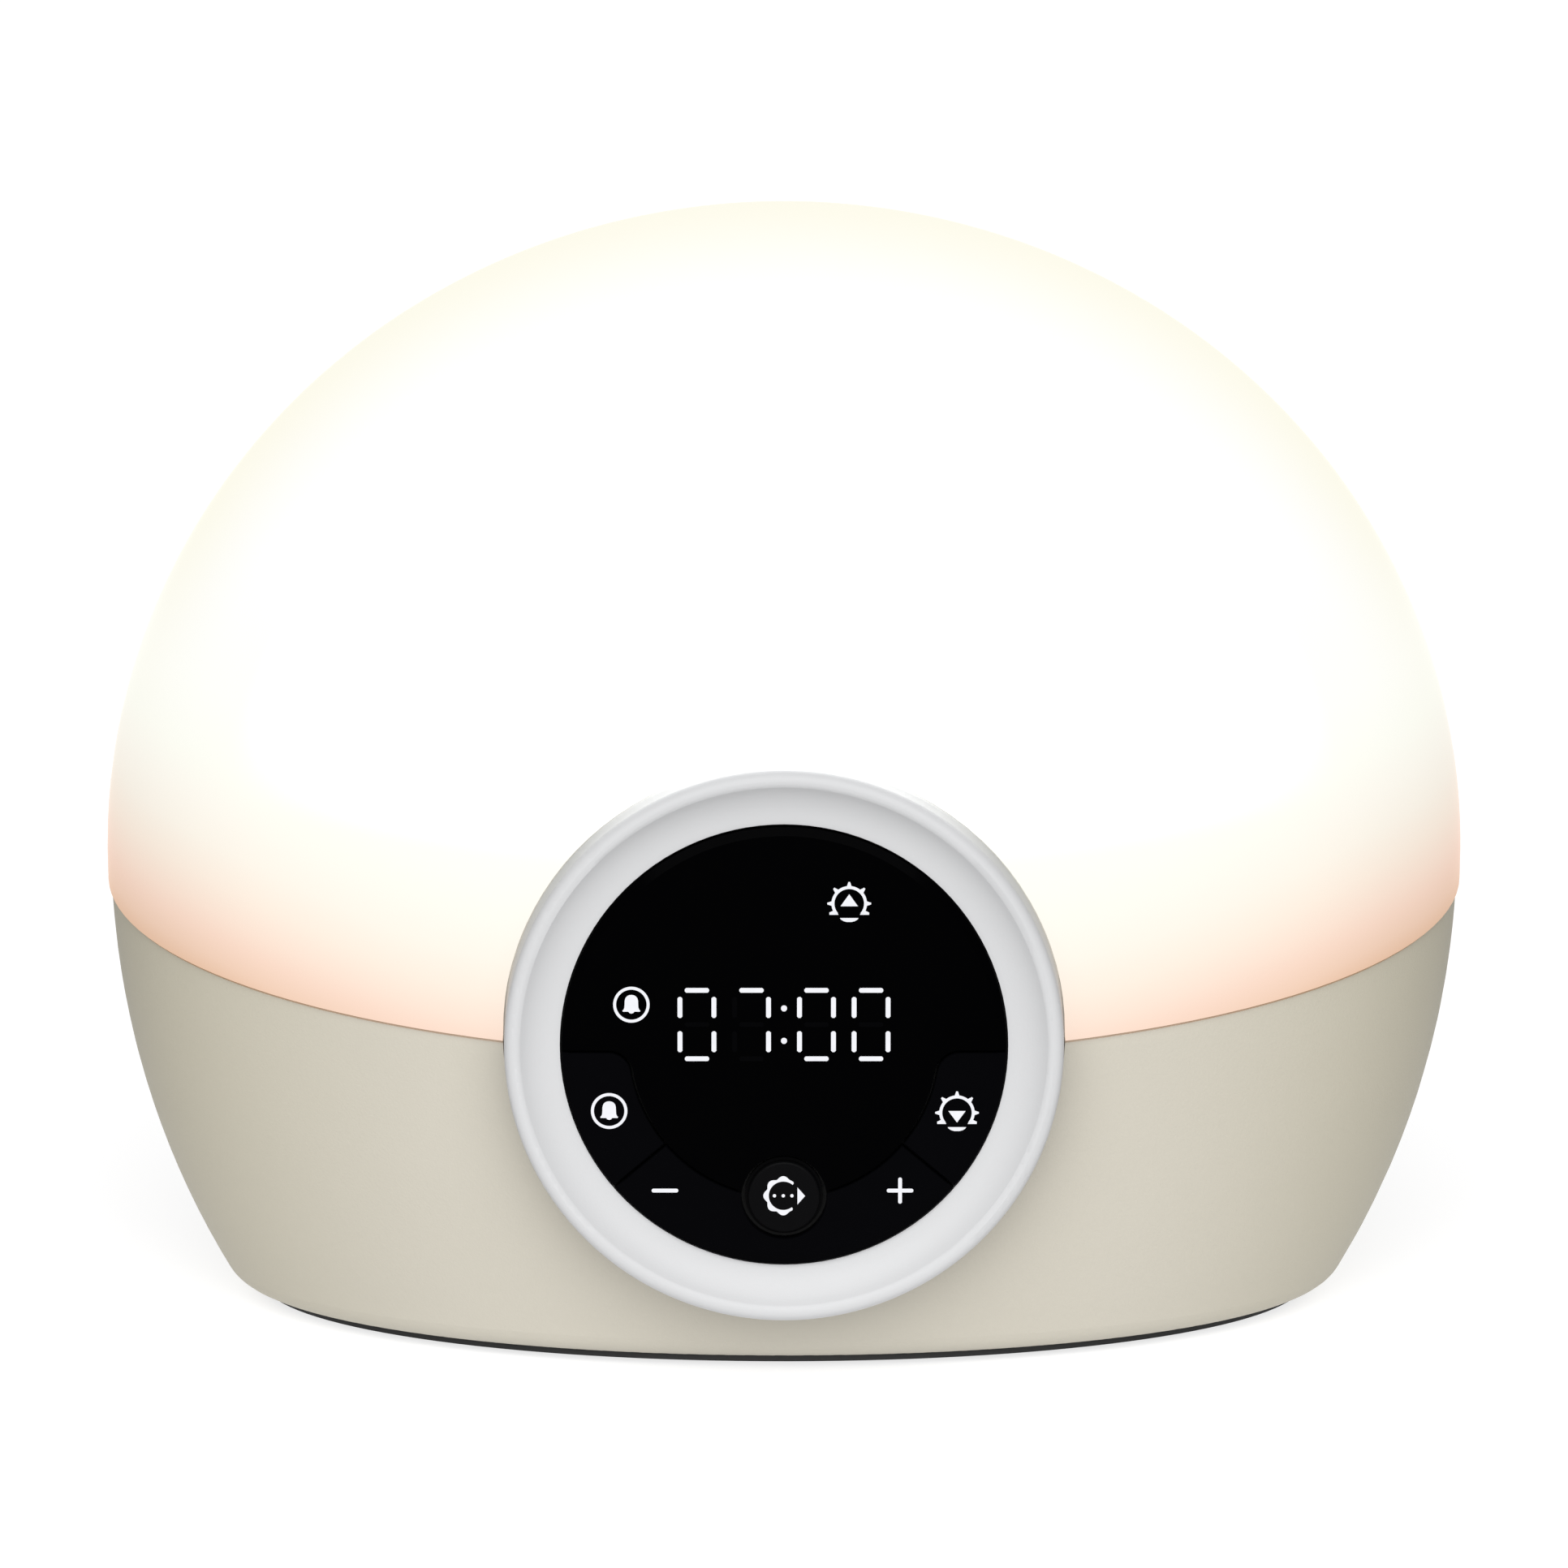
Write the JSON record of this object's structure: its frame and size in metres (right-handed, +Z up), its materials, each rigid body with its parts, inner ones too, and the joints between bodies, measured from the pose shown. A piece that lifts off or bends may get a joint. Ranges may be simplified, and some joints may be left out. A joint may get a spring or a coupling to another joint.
{
  "type": "sunrise alarm clock",
  "caption": "Egg-shaped wake-up lamp and alarm clock: glowing opal dome on a satin base, round dished bezel, black time display with push keys and a rocker.",
  "frame": {"origin": "middle of the footprint of the whole clock, on the plane the rubber feet stand on", "axes": "+X across the clock, to the viewer's right when facing its front; +Y from front to back; +Z up"},
  "size_m": [0.2, 0.1235, 0.162],
  "materials": {
    "opal_dome": "opal, glowing warm white from inside",
    "base_plastic": "satin beige",
    "black_base": "matt black",
    "foot_rubber": "matt",
    "gasket": "translucent, lit from inside",
    "bezel_plastic": "satin light grey",
    "black_lens": "gloss black",
    "black_keys": "gloss black",
    "black_button": "satin black",
    "steel": "plated",
    "switch_black": "matt black",
    "carrier_black": "matt black",
    "board_green": "solder mask",
    "white_reflector": "matt white",
    "digit_white": "lit white",
    "digit_dark": "unlit",
    "led_chip": "moulded",
    "clear_pipe": "clear acrylic",
    "chip_black": "moulded",
    "connector_white": "nylon",
    "aluminium": "rolled sheet",
    "led_board_white": "white solder mask",
    "led_phosphor": "lit phosphor",
    "jack_pin": "nickel plated",
    "capacitor_sleeve": "shrink sleeve",
    "ferrite": "matt ferrite",
    "speaker_steel": "painted",
    "speaker_paper": "pressed paper",
    "wire_red": "PVC sheath",
    "wire_black": "PVC sheath"
  },
  "bodies": {
    "clock_body": {"dome_diffuser": "opal_dome", "base_shell": "base_plastic", "rear_cover": "base_plastic", "bottom_plate": "black_base", "rubber_feet": "foot_rubber", "seam_gasket_strips": "gasket", "bezel_ring": "bezel_plastic", "display_lens": "black_lens", "tact_switch_bodies": "switch_black", "panel_carrier": "carrier_black", "carrier_screws": "steel", "panel_pcb": "board_green", "panel_pcb_screws": "steel", "display_reflector": "white_reflector", "digit_segments_lit": "digit_white", "digit_segments_dark": "digit_dark", "colon_dots": "digit_white", "segment_leds": "led_chip", "indicator_light_pipes": "clear_pipe", "controller_chip": "chip_black", "panel_connector": "connector_white", "deck_reflector": "white_reflector", "light_shield": "white_reflector", "deck_screws": "steel", "heat_spreader": "aluminium", "led_board": "led_board_white", "leds": "led_phosphor", "power_pcb": "board_green", "power_pcb_screws": "steel", "dc_jack_housing": "switch_black", "dc_jack_pin": "jack_pin", "capacitors": "capacitor_sleeve", "inductor": "ferrite", "driver_chips": "chip_black", "wire_connectors": "connector_white", "speaker_frame": "speaker_steel", "speaker_cone": "speaker_paper", "speaker_magnet": "ferrite", "panel_wires": "wire_red", "led_wires": "wire_red", "speaker_wires": "wire_black", "bezel_screws": "steel", "rear_cover_screws": "steel", "bottom_plate_screws": "steel"},
    "alarm_key_body": {"alarm_key": "black_keys", "alarm_switch_plunger": "switch_black"},
    "light_key_body": {"light_key": "black_keys", "light_switch_plunger": "switch_black"},
    "snooze_body": {"snooze_button": "black_button", "snooze_switch_plunger": "switch_black"},
    "rocker_body": {"minus_plus_rocker": "black_keys", "rocker_pivot_pin": "steel", "rocker_switch_plungers": "switch_black"}
  },
  "joints": [
    {"name": "alarm_key_press", "type": "slide", "parent": "clock_body", "child": "alarm_key_body", "axis": [0, 1, 0], "range_m": [0, 0.0005], "stiffness_N_per_m": 2400},
    {"name": "light_key_press", "type": "slide", "parent": "clock_body", "child": "light_key_body", "axis": [0, 1, 0], "range_m": [0, 0.0005], "stiffness_N_per_m": 2400},
    {"name": "snooze_press", "type": "slide", "parent": "clock_body", "child": "snooze_body", "axis": [0, 1, 0], "range_m": [0, 0.0005], "stiffness_N_per_m": 2400},
    {"name": "minus_plus_rock", "type": "hinge", "parent": "clock_body", "child": "rocker_body", "pos_m": [0, -0.05645, 0.02093], "axis": [0, 0, 1], "range_deg": [-1, 1], "stiffness_Nm_per_rad": 1}
  ]
}
